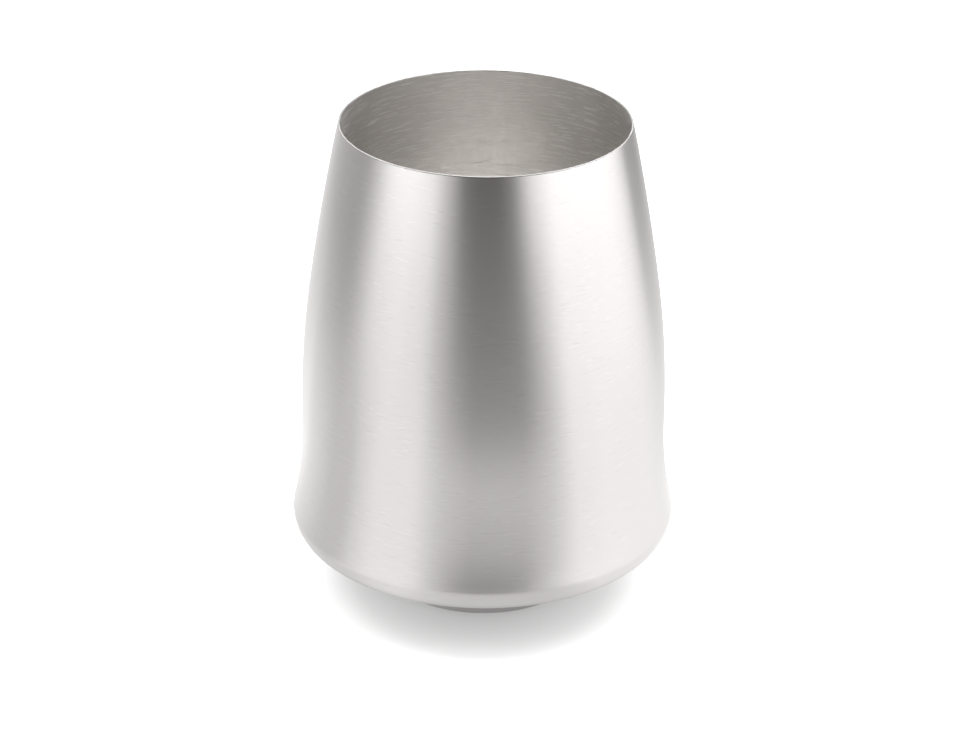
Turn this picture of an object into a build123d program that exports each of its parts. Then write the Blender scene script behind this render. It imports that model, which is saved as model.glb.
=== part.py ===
"""Stemless tumbler deep drawn from one blank of stainless steel sheet. Millimetres, +Z up.

The origin is the centre of the seat, on the plane that the cup stands on.
"""
from math import atan2, cos, degrees, radians, sin, sqrt, tan
import os

from build123d import *

# Overall sizes, all over the outside of the metal
height = 111.0
mouth_diameter = 64.7
hip_diameter = 88.0
seat_diameter = 46.4

# Thickness of the sheet, the same all over
wall = 0.5

# Foot: a shallow pad pressed down from the underside, its side leaning out by the draft
foot_height = 5.6
foot_draft = 40.0
foot_edge_radius = 0.9
foot_root_radius = 0.7

# The pad's middle is set up in a low dome, so that the cup stands on a flat ring
seat_width = 4.0
dome_rise = 0.9
dome_edge_radius = 8.0

# Underside and hip, the fullest part of the cup
underside_radius = 79.0
hip_radius = 5.1
crown_radius = 3.9

# Flare from the waist out to the hip
hip_step = 2.55
flare_radius = 91.0

# Side above the waist: a straight band, then the turn of the shoulder into the long taper
waist_band = 3.2
shoulder_radius = 219.0
shoulder_sweep = 8.4

# Distances from the axis to the outside of the metal
hip_reach = hip_diameter / 2
waist_reach = hip_reach - hip_step
seat_outer = seat_diameter / 2
seat_inner = seat_outer - seat_width

# The dome and the counter curve at its edge turn by the same angle
dome_turn = 2 * atan2(dome_rise, seat_inner)
dome_radius = seat_inner / sin(dome_turn) - dome_edge_radius

# Side of the foot: the way up it, the way square out of it, and where its top edge would be
foot_turn = radians(90 - foot_draft)
foot_up = Vector(cos(foot_turn), sin(foot_turn))
foot_out = Vector(sin(foot_turn), -cos(foot_turn))
foot_edge_centre = Vector(seat_outer, foot_edge_radius)
foot_side_start = foot_edge_centre + foot_out * foot_edge_radius
foot_reach = seat_outer + foot_edge_radius * tan(foot_turn / 2) + foot_height / tan(foot_turn)

# Centres of the underside, hip, crown and flare arcs, each arc tangent to the next
underside_centre = Vector(0, foot_height + sqrt(underside_radius**2 - foot_reach**2))
hip_drop = sqrt((underside_radius - hip_radius) ** 2 - (hip_reach - hip_radius) ** 2)
hip_centre = Vector(hip_reach - hip_radius, underside_centre.Y - hip_drop)
crown_centre = Vector(hip_reach - crown_radius, hip_centre.Y)
flare_rise = sqrt(2 * hip_step * (crown_radius + flare_radius) - hip_step**2)
flare_centre = Vector(waist_reach + flare_radius, hip_centre.Y + flare_rise)

# Centre of the small arc at the foot's root, tangent to the foot's side and to the underside
root_foot = foot_side_start + foot_out * foot_root_radius
root_offset = underside_centre - root_foot
root_along = root_offset.dot(foot_up)
root_aside = root_offset.dot(foot_out)
foot_side_length = root_along - sqrt((underside_radius + foot_root_radius) ** 2 - root_aside**2)
root_centre = root_foot + foot_up * foot_side_length

# Points where the lower arcs meet
root_end = underside_centre + (root_centre - underside_centre).normalized() * underside_radius
underside_end = underside_centre + (hip_centre - underside_centre).normalized() * underside_radius
hip_end = Vector(hip_reach, hip_centre.Y)
crown_end = crown_centre + (flare_centre - crown_centre).normalized() * crown_radius
flare_end = Vector(waist_reach, flare_centre.Y)
waist_end = flare_end + Vector(0, waist_band)

# Top of the shoulder, and the way from there to the axis square to the wall
shoulder_turn = radians(shoulder_sweep)
inward = Vector(-cos(shoulder_turn), -sin(shoulder_turn))
shoulder_end = waist_end - Vector(shoulder_radius, 0) - inward * shoulder_radius

# The lip is a half round of the sheet's thickness, and the taper runs tangent into it
lip_centre = Vector(mouth_diameter / 2 - wall / 2, height - wall / 2)
span = lip_centre - shoulder_end
taper_radius = (span.dot(span) - wall**2 / 4) / (2 * span.dot(inward) - wall)
taper_centre = shoulder_end + inward * taper_radius
lip_outer = lip_centre + (lip_centre - taper_centre) * (wall / 2 / (taper_radius - wall / 2))
lip_inner = lip_centre * 2 - lip_outer

# The cup is one wall of even thickness, turned about the axis from the section of the sheet
with BuildPart() as cup:
    with BuildSketch(Plane.XZ):
        with BuildLine() as outside:
            dome = JernArc((0, dome_rise), (1, 0), dome_radius, -degrees(dome_turn))
            dome_edge = JernArc(dome @ 1, dome % 1, dome_edge_radius, degrees(dome_turn))
            seat = Line(dome_edge @ 1, (seat_outer, 0))
            foot_edge = TangentArc(seat @ 1, foot_side_start, tangent=seat % 1)
            foot_side = Line(foot_edge @ 1, foot_side_start + foot_up * foot_side_length)
            foot_root = TangentArc(foot_side @ 1, root_end, tangent=foot_side % 1)
            underside = TangentArc(foot_root @ 1, underside_end, tangent=foot_root % 1)
            hip = TangentArc(underside @ 1, hip_end, tangent=underside % 1)
            crown = TangentArc(hip @ 1, crown_end, tangent=hip % 1)
            flare = TangentArc(crown @ 1, flare_end, tangent=crown % 1)
            waist = Line(flare @ 1, waist_end)
            shoulder = TangentArc(waist @ 1, shoulder_end, tangent=waist % 1)
            taper = TangentArc(shoulder @ 1, lip_outer, tangent=shoulder % 1)
        with BuildLine():
            offset(outside.line, amount=wall, side=Side.LEFT, closed=False)
            lip = TangentArc(taper @ 1, lip_inner, tangent=taper % 1)
            middle = Line(dome @ 0, (0, dome_rise + wall))
        make_face()
    revolve(axis=Axis.Z)

cup.part.label = "cup"
os.makedirs("parts", exist_ok=True)
export_step(cup.part, "parts/cup.step")
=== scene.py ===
"""A stemless steel tumbler, deep drawn in one piece, standing on a white table. Metres, +Z up."""

from math import asin, atan2, ceil, cos, pi, radians, sin, sqrt, tan

import bmesh
import bpy
from mathutils import Matrix, Vector


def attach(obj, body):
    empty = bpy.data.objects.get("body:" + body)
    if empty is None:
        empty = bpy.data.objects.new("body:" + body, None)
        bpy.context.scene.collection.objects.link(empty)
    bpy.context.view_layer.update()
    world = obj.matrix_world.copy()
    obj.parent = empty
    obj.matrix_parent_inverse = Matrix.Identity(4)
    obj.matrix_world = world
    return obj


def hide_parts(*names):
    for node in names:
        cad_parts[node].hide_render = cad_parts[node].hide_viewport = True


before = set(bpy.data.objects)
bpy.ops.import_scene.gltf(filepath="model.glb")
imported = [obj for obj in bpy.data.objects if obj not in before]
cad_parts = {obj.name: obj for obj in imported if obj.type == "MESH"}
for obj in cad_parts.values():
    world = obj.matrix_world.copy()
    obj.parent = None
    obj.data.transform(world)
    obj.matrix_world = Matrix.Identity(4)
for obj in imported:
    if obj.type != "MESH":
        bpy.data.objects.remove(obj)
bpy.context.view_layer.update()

# The cup is one wall of stainless steel sheet, 0.5 mm thick all over. It was drawn from a flat
# blank, its side was spun in towards the mouth, and its foot was pressed down from the bottom.
mm = 0.001
height = 111.0 * mm
mouth_reach = 32.35 * mm
hip_reach = 44.0 * mm
wall = 0.5 * mm

# Foot, with the low dome that is set up inside its seat
seat_reach = 23.2 * mm
seat_width = 4.0 * mm
dome_rise = 0.9 * mm
dome_edge_radius = 8.0 * mm
foot_height = 5.6 * mm
foot_turn = radians(50)
foot_edge_radius = 0.9 * mm
foot_root_radius = 0.7 * mm

# Underside, hip and flare, then the straight waist and the turn into the taper
underside_radius = 79.0 * mm
hip_radius = 5.1 * mm
crown_radius = 3.9 * mm
hip_step = 2.55 * mm
flare_radius = 91.0 * mm
waist_band = 3.2 * mm
shoulder_radius = 219.0 * mm
shoulder_turn = radians(8.4)

# Fineness of the mesh: longest step and largest turn along the section, and steps round the axis
section_step = 1.6 * mm
section_turn = radians(6)
steps_round = 240

# Lip: a short straight run under it, the bend that only the sheet's cut edges have, the steps of
# its half round, and how far down from its top it has a finish of its own
lip_run = 0.25 * mm
cut_edge_bend = radians(80)
lip_steps = 6
lip_depth = 0.2 * wall

# Numbers of the finishes inside and on the lip, in the order in which the cup gets its finishes
inside_finish = 1
lip_finish = 2


def way(heading):
    """Unit vector in the section's plane, at an angle up from +X."""
    return Vector((cos(heading), 0, sin(heading)))


def run(section, tip, heading, length):
    """Carries the end of the section straight on."""
    steps = ceil(length / section_step)
    for _ in range(steps):
        tip = bmesh.ops.extrude_vert_indiv(section, verts=[tip])["verts"][0]
        bmesh.ops.translate(section, verts=[tip], vec=way(heading) * length / steps)
    return tip


def bend(section, tip, heading, radius, turn):
    """Carries the end of the section round an arc, to the left for a turn above zero."""
    steps = max(2, ceil(radius * abs(turn) / section_step), ceil(abs(turn) / section_turn))
    side = pi / 2 if turn > 0 else -pi / 2
    arc = bmesh.ops.spin(section, geom=[tip], cent=tip.co + way(heading + side) * radius,
                         axis=(0, -1, 0), angle=turn, steps=steps)
    return next(v for v in arc["geom_last"] if isinstance(v, bmesh.types.BMVert))


def cup_section():
    """Outside of the wall from the axis out to the lip: arcs and straight runs, each tangent."""
    dome_turn = 2 * atan2(dome_rise, seat_reach - seat_width)
    dome_radius = (seat_reach - seat_width) / sin(dome_turn) - dome_edge_radius
    foot_reach = seat_reach + foot_edge_radius * tan(foot_turn / 2) + foot_height / tan(foot_turn)
    underside_z = foot_height + sqrt(underside_radius ** 2 - foot_reach ** 2)

    # The foot's side ends where its root arc also touches the underside
    out = way(foot_turn - pi / 2)
    root = Vector((seat_reach, 0, foot_edge_radius)) + out * (foot_edge_radius + foot_root_radius)
    gap = Vector((0, 0, underside_z)) - root
    root_reach = underside_radius + foot_root_radius
    side_length = gap.dot(way(foot_turn)) - sqrt(root_reach ** 2 - gap.dot(out) ** 2)
    root += way(foot_turn) * side_length
    root_heading = asin(root.x / root_reach)

    # The hip touches the underside, and the flare touches the crown and the waist
    hip_heading = asin((hip_reach - hip_radius) / (underside_radius - hip_radius))
    flare_turn = atan2(sqrt(2 * hip_step * (crown_radius + flare_radius) - hip_step ** 2),
                       crown_radius + flare_radius - hip_step)

    strokes = [
        (dome_radius, -dome_turn),
        (dome_edge_radius, dome_turn),
        (seat_width, None),
        (foot_edge_radius, foot_turn),
        (side_length, None),
        (foot_root_radius, root_heading - foot_turn),
        (underside_radius, hip_heading - root_heading),
        (hip_radius, pi / 2 - hip_heading),
        (crown_radius, flare_turn),
        (flare_radius, -flare_turn),
        (waist_band, None),
        (shoulder_radius, shoulder_turn),
    ]
    section = bmesh.new()
    tip = section.verts.new((0, 0, dome_rise))
    heading = 0
    for size, turn in strokes:
        if turn is None:
            tip = run(section, tip, heading, size)
        else:
            tip = bend(section, tip, heading, size, turn)
            heading += turn

    # The taper bows in from the shoulder and touches the half round of the lip
    lip = Vector((mouth_reach - wall / 2, 0, height - wall / 2))
    span = lip - tip.co
    inward = way(heading + pi / 2)
    taper_radius = (span.length_squared - wall ** 2 / 4) / (2 * span.dot(inward) - wall)
    centre = tip.co + inward * taper_radius
    taper_turn = (tip.co - centre).angle(lip - centre) - lip_run / taper_radius
    tip = bend(section, tip, heading, taper_radius, taper_turn)
    run(section, tip, heading + taper_turn, lip_run + wall / 2)
    return section


def unrolled(cup, ways):
    """UV map of the sheet: once round the axis along U, and metres from the axis along V."""
    sheet = cup.loops.layers.uv.new("sheet")
    for face in cup.faces:
        middle = face.calc_center_median()
        for loop in face.loops:
            co = loop.vert.co
            beyond = middle.x * co.y - middle.y * co.x
            turned = atan2(middle.y, middle.x) + atan2(beyond, middle.x * co.x + middle.y * co.y)
            loop[sheet].uv = (turned / (2 * pi), loop.vert[ways])


def cup_mesh():
    """The section spun into a shell, given the sheet's thickness inwards, its lip rounded over."""
    cup = cup_section()

    # Each point keeps its way along the sheet from the axis, for the UV map
    ways = cup.verts.layers.float.new("way")
    cup.verts.ensure_lookup_table()
    for last, vert in zip(cup.verts, cup.verts[1:]):
        vert[ways] = last[ways] + (vert.co - last.co).length

    bmesh.ops.spin(cup, geom=cup.verts[:] + cup.edges[:], cent=(0, 0, 0), axis=(0, 0, 1),
                   angle=2 * pi, steps=steps_round, use_merge=True)
    bmesh.ops.remove_doubles(cup, verts=cup.verts, dist=wall / 100)
    bmesh.ops.recalc_face_normals(cup, faces=cup.faces)
    lining = bmesh.ops.solidify(cup, geom=cup.faces[:], thickness=wall)["geom"]
    for face in lining:
        if isinstance(face, bmesh.types.BMFace):
            face.material_index = inside_finish
    cut_edges = [edge for edge in cup.edges if edge.calc_face_angle() > cut_edge_bend]
    bmesh.ops.bevel(cup, geom=cut_edges, affect="EDGES", offset=wall / 2, segments=lip_steps,
                    profile=0.5, material=-1, clamp_overlap=True)
    for face in cup.faces:
        face.smooth = True
        if face.calc_center_median().z > height - lip_depth:
            face.material_index = lip_finish
    unrolled(cup, ways)
    return cup


def set_out(name, shape):
    """Puts a finished shape into the scene as an object of its own."""
    made = bpy.data.objects.new(name, bpy.data.meshes.new(name))
    shape.to_mesh(made.data)
    shape.free()
    bpy.context.scene.collection.objects.link(made)
    return made


def feed(tree, socket, value):
    """Links a socket to another one, or sets it to a value of its own kind."""
    if isinstance(value, bpy.types.NodeSocket):
        tree.links.new(value, socket)
    elif socket.type == "RGBA" and isinstance(value, (int, float)):
        socket.default_value = (value, value, value, 1)
    else:
        socket.default_value = value


def fill(tree, made, **inputs):
    """Gives the inputs of a shader node their values or links."""
    for name, value in inputs.items():
        feed(tree, made.inputs[name.replace("_", " ")], value)
    return made


def node(tree, kind, settings=None, **inputs):
    """Adds a shader node, with its settings and with the values or links of its inputs."""
    made = tree.nodes.new("ShaderNode" + kind)
    for name, value in (settings or {}).items():
        setattr(made, name, value)
    return fill(tree, made, **inputs)


def calc(tree, operation, *values):
    """Adds a Math node that works on numbers or sockets, and gives its result."""
    made = node(tree, "Math", {"operation": operation})
    for socket, value in zip(made.inputs, values):
        feed(tree, socket, value)
    return made.outputs[0]


def blend(tree, factor, low, high, start=0, end=1):
    """Runs from one value or socket to another as the factor goes from start to end."""
    return node(tree, "MapRange", Value=factor, From_Min=start, From_Max=end,
                To_Min=low, To_Max=high).outputs["Result"]


def tinted(tree, factor, low, high):
    """Runs from one colour to another as the factor goes from 0 to 1."""
    made = node(tree, "Mix", {"data_type": "RGBA"})
    feed(tree, made.inputs["Factor"], factor)

    # A Mix node's colours are its inputs 6 and 7 and its output 2
    feed(tree, made.inputs[6], low)
    feed(tree, made.inputs[7], high)
    return made.outputs[2]


def place_on_cup(tree):
    """Metres from the middle of the cup's foot, along X, Y and Z."""
    return node(tree, "SeparateXYZ", Vector=node(tree, "TexCoord").outputs["Object"]).outputs


def place_on_sheet(tree):
    """Turns round the axis along X, and metres of sheet from the axis along Y."""
    sheet = node(tree, "UVMap", {"uv_map": "sheet"})
    return node(tree, "SeparateXYZ", Vector=sheet.outputs["UV"]).outputs


# Soft marks: how many finer layers of noise break them up
mark_detail = 2

# Scratches: the share of a scratch's length over which each end fades out, and the shares of its
# width at which it starts from either side and is at its full strength
end_fade = 0.2
side_fade = (0.05, 0.3)


def marks(tree, length, width):
    """Noise drawn out round the cup into soft marks of a length and width."""
    cup = place_on_cup(tree)
    spot = node(tree, "CombineXYZ", X=calc(tree, "DIVIDE", cup["X"], length),
                Y=calc(tree, "DIVIDE", cup["Y"], length),
                Z=calc(tree, "DIVIDE", place_on_sheet(tree)["Y"], width))
    return node(tree, "TexNoise", Vector=spot.outputs["Vector"], Scale=1,
                Detail=mark_detail).outputs["Fac"]


def scratch_layer(tree, places, width, climb, share):
    """Short straight scratches in rows of a width, which climb by so many rows in one turn.

    Each row has so many places for a scratch once round the cup, and a share of them is drawn.
    """
    sheet = place_on_sheet(tree)
    across = calc(tree, "ADD", calc(tree, "DIVIDE", sheet["Y"], width),
                  calc(tree, "MULTIPLY", sheet["X"], climb))
    row = calc(tree, "FLOOR", across)
    shift = node(tree, "TexWhiteNoise", {"noise_dimensions": "1D"}, W=row).outputs["Value"]
    along = calc(tree, "MULTIPLY_ADD", sheet["X"], places, shift)
    spot = node(tree, "CombineXYZ", X=calc(tree, "FLOOR", along), Y=row)
    chance = node(tree, "TexWhiteNoise", Vector=spot.outputs["Vector"]).outputs["Value"]
    drawn = blend(tree, chance, 0, 1, 1 - share, 1)
    ends = blend(tree, calc(tree, "PINGPONG", along, 0.5), 0, 1, 0, end_fade)
    sides = blend(tree, calc(tree, "PINGPONG", across, 0.5), 0, 1, *side_fade)
    return calc(tree, "MULTIPLY", calc(tree, "MULTIPLY", ends, sides), drawn)


def scratches(tree, layers):
    """Layers of scratches one over the other, the strongest showing."""
    strongest = 0
    for layer in layers:
        strongest = calc(tree, "MAXIMUM", scratch_layer(tree, *layer), strongest)
    return strongest


# The gloss is drawn out a quarter turn from the way that the brushing runs
gloss_turn = 0.25


def steel(name, drawn_out):
    """Stainless steel, its gloss drawn out across the brushing that runs round the cup."""
    made = bpy.data.materials.new(name)
    made.use_nodes = True
    tree = made.node_tree
    round_cup = node(tree, "Tangent", {"direction_type": "UV_MAP", "uv_map": "sheet"})
    fill(tree, tree.nodes["Principled BSDF"], Metallic=1, Anisotropic=drawn_out,
         Anisotropic_Rotation=gloss_turn, Tangent=round_cup.outputs["Tangent"])
    return made


# Outside: colours of the satin and of its marks, how far its gloss is drawn out, its roughness,
# and the roughness, length and width of its broad patches
satin_colour = (0.67, 0.652, 0.642, 1)
light_mark_colour = (0.725, 0.706, 0.694, 1)
dark_mark_colour = (0.62, 0.603, 0.593, 1)
satin_drawn_out = 0.6
satin_roughness = 0.19
patch_roughness = 0.06
patch_length = 18 * mm
patch_width = 12 * mm

# Layers of marks: places once round the cup, width, rows climbed in one turn, share drawn
light_marks = [(150, 0.22 * mm, 5, 0.035), (113, 0.2 * mm, -4, 0.03)]
dark_marks = [(137, 0.23 * mm, 3, 0.035), (105, 0.21 * mm, -5, 0.03)]


def satin_outside():
    """Fine satin: smooth, in broad soft patches, with a few short faint marks, light and dark."""
    made = steel("satin_outside", satin_drawn_out)
    tree = made.node_tree
    patches = marks(tree, patch_length, patch_width)
    colour = tinted(tree, scratches(tree, light_marks), satin_colour, light_mark_colour)
    colour = tinted(tree, scratches(tree, dark_marks), colour, dark_mark_colour)
    fill(tree, tree.nodes["Principled BSDF"], Base_Color=colour,
         Roughness=calc(tree, "MULTIPLY_ADD", patches, patch_roughness, satin_roughness))
    return made


# Inside: colours of the ground and of its scratches, how far its gloss is drawn out, its
# roughness below and above, the heights between which that changes, and how uneven the ground is
# in soft marks of a length and width
# The ground is a little lighter than the satin outside: painted light that lifts the dim inside
lifted_ground_colour = (0.72, 0.702, 0.684, 1)
# The scratches are real, and their colour, lighter than the ground, is a painted highlight
scratch_highlight_colour = (1.0, 0.99, 0.97, 1)
inside_drawn_out = 0.3
inside_roughness = (0.4, 0.46)
duller_heights = (75 * mm, 105 * mm)
ground_unevenness = 0.12
ground_length = 9 * mm
ground_width = 0.5 * mm

# Scratches of the inside: roughness and depth, and their layers in the order of the marks above
scratch_roughness = 0.2
scratch_depth = 0.006 * mm
inside_scratches = [(46, 0.27 * mm, 40, 0.14), (61, 0.24 * mm, -22, 0.12),
                    (34, 0.25 * mm, 14, 0.12), (75, 0.27 * mm, 66, 0.08)]


def brushed_inside():
    """Coarser brushing by hand: uneven ground and scratches at small angles, with painted highlights.
    """
    made = steel("brushed_inside", inside_drawn_out)
    tree = made.node_tree
    scratched = scratches(tree, inside_scratches)
    uneven = calc(tree, "SUBTRACT", marks(tree, ground_length, ground_width), 0.5)
    duller = blend(tree, place_on_cup(tree)["Z"], *inside_roughness, *duller_heights)
    rough = calc(tree, "MULTIPLY_ADD", uneven, ground_unevenness, duller)
    relief = node(tree, "Bump", {"invert": True}, Strength=1, Distance=scratch_depth, Height=scratched)
    fill(tree, tree.nodes["Principled BSDF"],
         Base_Color=tinted(tree, scratched, lifted_ground_colour, scratch_highlight_colour),
         Roughness=calc(tree, "MULTIPLY_ADD", scratched, scratch_roughness, rough),
         Normal=relief.outputs["Normal"])
    return made


# Lip: narrower than a pixel in most views, so a soft grey stands for its small bright round
lip_colour = (0.3, 0.295, 0.29, 1)
lip_roughness = 0.6


def polished_lip():
    """The trimmed edge, rounded over and buffed."""
    made = steel("polished_lip", 0)
    fill(made.node_tree, made.node_tree.nodes["Principled BSDF"], Base_Color=lip_colour,
         Roughness=lip_roughness)
    return made


drawn_cup = set_out("drawn_cup", cup_mesh())
drawn_cup.data.materials.append(satin_outside())
drawn_cup.data.materials.append(brushed_inside())
drawn_cup.data.materials.append(polished_lip())
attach(drawn_cup, "root")
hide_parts("cup")

# The table is a white board that takes the cup's shadow. The camera sees it plain white. What the
# cup mirrors of it is painted light: a glow, bright towards the lamps and dark towards the camera,
# with a painted shadow round the foot and a painted dark strip in front.
table_front = -3.0
table_back = 2.5
table_side = 1.5
table_white = 0.42
table_glow = 0.24

# Painted light that the cup sees on the table close round it, a little further out and far off, as
# pairs of degrees to the right of the camera's side and level
close_light = [
    (-180, 1.1), (-110, 1.0), (-90, 0.92), (-72, 0.86), (-56, 0.9), (-45, 1.02), (-32, 1.08),
    (-14, 0.95), (20, 0.95), (49, 1.12), (110, 1.2), (180, 1.2),
]
near_light = [
    (-180, 1.1), (-145, 1.05), (-128, 1.18), (-118, 1.04), (-106, 0.95), (-98, 0.86), (-91, 0.78),
    (-84, 0.78), (-77, 0.77), (-70, 0.94), (-58, 1.15), (-38, 1.16), (-20, 0.95), (34, 0.98),
    (50, 1.2), (70, 1.28), (102, 1.24), (118, 1.12), (126, 1.04), (134, 0.98), (155, 0.95),
    (180, 1.1),
]
far_light = [
    (-180, 0.8), (-150, 0.72), (-125, 0.55), (-102, 0.47), (-93, 0.53), (-84, 0.74), (-74, 1.08),
    (-56, 1.18), (-38, 1.05), (-30, 0.84), (-22, 0.82), (-15, 0.6), (20, 0.6), (33, 1.05),
    (46, 1.27), (74, 1.38), (94, 1.44), (108, 1.32), (116, 1.05), (125, 0.5), (142, 0.42),
    (160, 0.5), (180, 0.8),
]

# Metres from the axis between which the levels of one distance give way to those of the next
close_to_near = (0.062, 0.085)
near_to_far = (0.13, 0.4)

# Painted shadow round the cup's foot: its level, and the metres from the axis between which it ends
painted_foot_shadow = 0.4
painted_foot_shadow_end = (0.025, 0.048)

# Strip of the table in front, painted dark so that the cup mirrors the dark end of the room: where
# its middle is, half its width and the width of its soft edges in degrees, and pairs of metres from
# the axis and level
strip_middle = 8
strip_half = 14
strip_edge = 28
strip_light = [
    (0.0, 0.34), (0.026, 0.34), (0.042, 0.8), (0.076, 0.8), (0.092, 0.72), (0.115, 0.77),
    (0.13, 0.73), (0.15, 0.64), (0.17, 0.53), (0.195, 0.4), (0.23, 0.33), (0.27, 0.38),
    (0.35, 0.36), (1.0, 0.27),
]


def board():
    """One flat face, as wide and as long as the table."""
    made = bmesh.new()
    bmesh.ops.create_grid(made, x_segments=1, y_segments=1, size=1)
    bmesh.ops.scale(made, verts=made.verts, vec=(table_side, (table_back - table_front) / 2, 1))
    bmesh.ops.translate(made, verts=made.verts, vec=(0, (table_back + table_front) / 2, 0))
    return made


def grey_ramp(tree, place, stops):
    """Greys along a place that runs from 0 to 1, given as pairs of place and grey."""
    made = node(tree, "ValToRGB", Fac=place)
    ramp = made.color_ramp.elements
    for element, (at, grey) in zip(ramp, (stops[0], stops[-1])):
        element.position = at
        element.color = (grey, grey, grey, 1)
    for at, grey in stops[1:-1]:
        ramp.new(at).color = (grey, grey, grey, 1)
    return made.outputs["Color"]


def turned_right(tree, direction):
    """Degrees to the right of the camera's side, for a direction or for a place on the table."""
    parts = node(tree, "SeparateXYZ", Vector=direction)
    towards = calc(tree, "MULTIPLY", parts.outputs["Y"], -1)
    return calc(tree, "DEGREES", calc(tree, "ARCTAN2", parts.outputs["X"], towards))


def round_ramp(tree, turned, stops):
    """Greys once round the cup, as pairs of degrees to the right of the camera's side and grey."""
    place = blend(tree, turned, 0, 1, -180, 180)
    return grey_ramp(tree, place, [(degrees / 360 + 0.5, grey) for degrees, grey in stops])


def painted_light_on_table(tree):
    """Painted level of light at each place on the table, as the cup sees it."""
    spot = node(tree, "TexCoord").outputs["Object"]
    away = node(tree, "VectorMath", {"operation": "LENGTH"}, Vector=spot).outputs["Value"]
    turned = turned_right(tree, spot)
    close = round_ramp(tree, turned, close_light)
    near = blend(tree, away, close, round_ramp(tree, turned, near_light), *close_to_near)
    beside = blend(tree, away, near, round_ramp(tree, turned, far_light), *near_to_far)
    shaded = calc(tree, "MULTIPLY", beside, blend(tree, away, painted_foot_shadow, 1, *painted_foot_shadow_end))
    off_strip = calc(tree, "ABSOLUTE", calc(tree, "SUBTRACT", turned, strip_middle))
    return blend(tree, off_strip, grey_ramp(tree, away, strip_light), shaded,
                 strip_half, strip_half + strip_edge)


def table_finish():
    """Matt white with a little light of its own for the camera, and a glow of painted light for the
    cup.
    """
    made = bpy.data.materials.new("white_table")
    made.use_nodes = True
    tree = made.node_tree
    tree.nodes.clear()
    matt = node(tree, "BsdfDiffuse", Color=table_white)
    glow = node(tree, "Emission", Strength=table_glow)
    white = node(tree, "AddShader")
    tree.links.new(matt.outputs[0], white.inputs[0])
    tree.links.new(glow.outputs[0], white.inputs[1])

    # For the cup the table has no lamplight, only this painted glow of light and shade
    painted_mirror_glow = node(tree, "Emission", Strength=painted_light_on_table(tree))
    shown = node(tree, "MixShader", Fac=node(tree, "LightPath").outputs["Is Camera Ray"])
    tree.links.new(painted_mirror_glow.outputs[0], shown.inputs[1])
    tree.links.new(white.outputs[0], shown.inputs[2])
    node(tree, "OutputMaterial", Surface=shown.outputs[0])
    return made


table = set_out("table", board())
table.data.materials.append(table_finish())

# The studio is a dim room with a soft lamp overhead and one on each side of the cup, a white
# backdrop behind it, a grey gap between backdrop and lamps, and the dark end where the camera is.
ceiling_light = 0.04

# Light of the walls, as pairs of degrees to the right of the camera's side and level
room_light = [
    (-180, 1.0), (-160, 0.95), (-142, 0.6), (-126, 0.56), (-108, 0.5), (-96, 0.5), (-84, 1.0),
    (-70, 1.65), (-54, 1.7), (-38, 1.5), (-26, 0.8), (-15, 0.2), (-4, 0.15), (10, 0.15),
    (20, 0.36), (33, 1.5), (46, 1.85), (74, 1.9), (94, 2.0), (112, 2.0), (124, 1.6), (138, 0.3),
    (158, 0.3), (172, 0.9), (180, 1.0),
]

# Upward parts of a view's direction between which the walls give way to the ceiling
walls_end = (0.14, 0.32)

# The top lamp hangs a little behind the cup, at an angle from straight above, and the side lamps
# stand so many degrees to the right and to the left of the camera's side
top_lean = radians(21)
side_turn = 85


def studio_walls():
    """The room by compass direction, and plain white where the camera looks past the cup."""
    world = bpy.data.worlds.new("studio")
    bpy.context.scene.world = world
    world.use_nodes = True
    tree = world.node_tree
    tree.nodes.clear()
    direction = node(tree, "TexCoord").outputs["Generated"]
    walls = round_ramp(tree, turned_right(tree, direction), room_light)
    up = node(tree, "SeparateXYZ", Vector=direction).outputs["Z"]
    room = blend(tree, up, walls, ceiling_light, *walls_end)
    shown = blend(tree, node(tree, "LightPath").outputs["Is Camera Ray"], room, 1)
    node(tree, "OutputWorld", Surface=node(tree, "Background", Color=shown).outputs[0])


def soft_box(name, way_out, distance, width, tall, raised, light):
    """A lamp's rectangular face, of a level of light, square to the way out from the cup's axis."""
    lamp = bpy.data.lights.new(name, "AREA")
    lamp.shape = "RECTANGLE"
    lamp.size = width
    lamp.size_y = tall
    lamp.energy = light * pi * width * tall
    box = bpy.data.objects.new(name, lamp)
    box.location = way_out * distance + Vector((0, 0, raised))
    box.rotation_euler = (-way_out).to_track_quat("-Z", "Y").to_euler()
    box.visible_camera = False
    bpy.context.scene.collection.objects.link(box)
    return box


def side_box(name, turned, light):
    """A soft box beside the cup, left out of mirrors, where the lit walls stand for it."""
    level = Vector((sin(radians(turned)), -cos(radians(turned)), 0))
    box = soft_box(name, level, distance=0.35, width=0.6, tall=0.8, raised=0.4, light=light)
    box.visible_glossy = False


studio_walls()
soft_box("top_soft_box", Vector((0, sin(top_lean), cos(top_lean))), distance=0.9, width=1.8, tall=0.9,
         raised=0, light=7.2)
side_box("left_soft_box", -side_turn, light=5.4)
side_box("right_soft_box", side_turn, light=5.8)

# The camera looks down at the cup from 0.64 m off its middle, turned a little out of level. Its
# place, aim and lens were fitted to the outline of the cup in the photograph.
camera_distance = 0.6404
camera_rise = radians(25.864)
camera_turn = radians(0.438)
camera_aim = Vector((-0.86, 0, 49.8)) * mm
camera_middle = Vector((0, 0, 55)) * mm
focal_pixels = 2819.4
photo_width = 960

camera = bpy.data.objects.new("camera", bpy.data.cameras.new("camera"))
bpy.context.scene.collection.objects.link(camera)
camera.location = camera_middle + Vector((0, -cos(camera_rise), sin(camera_rise))) * camera_distance
look = (camera_aim - camera.location).to_track_quat("-Z", "Y").to_matrix()
camera.rotation_euler = (look @ Matrix.Rotation(camera_turn, 3, "Z")).to_euler()
camera.data.lens = focal_pixels * camera.data.sensor_width / photo_width
bpy.context.scene.camera = camera
bpy.context.scene.view_settings.view_transform = "Standard"
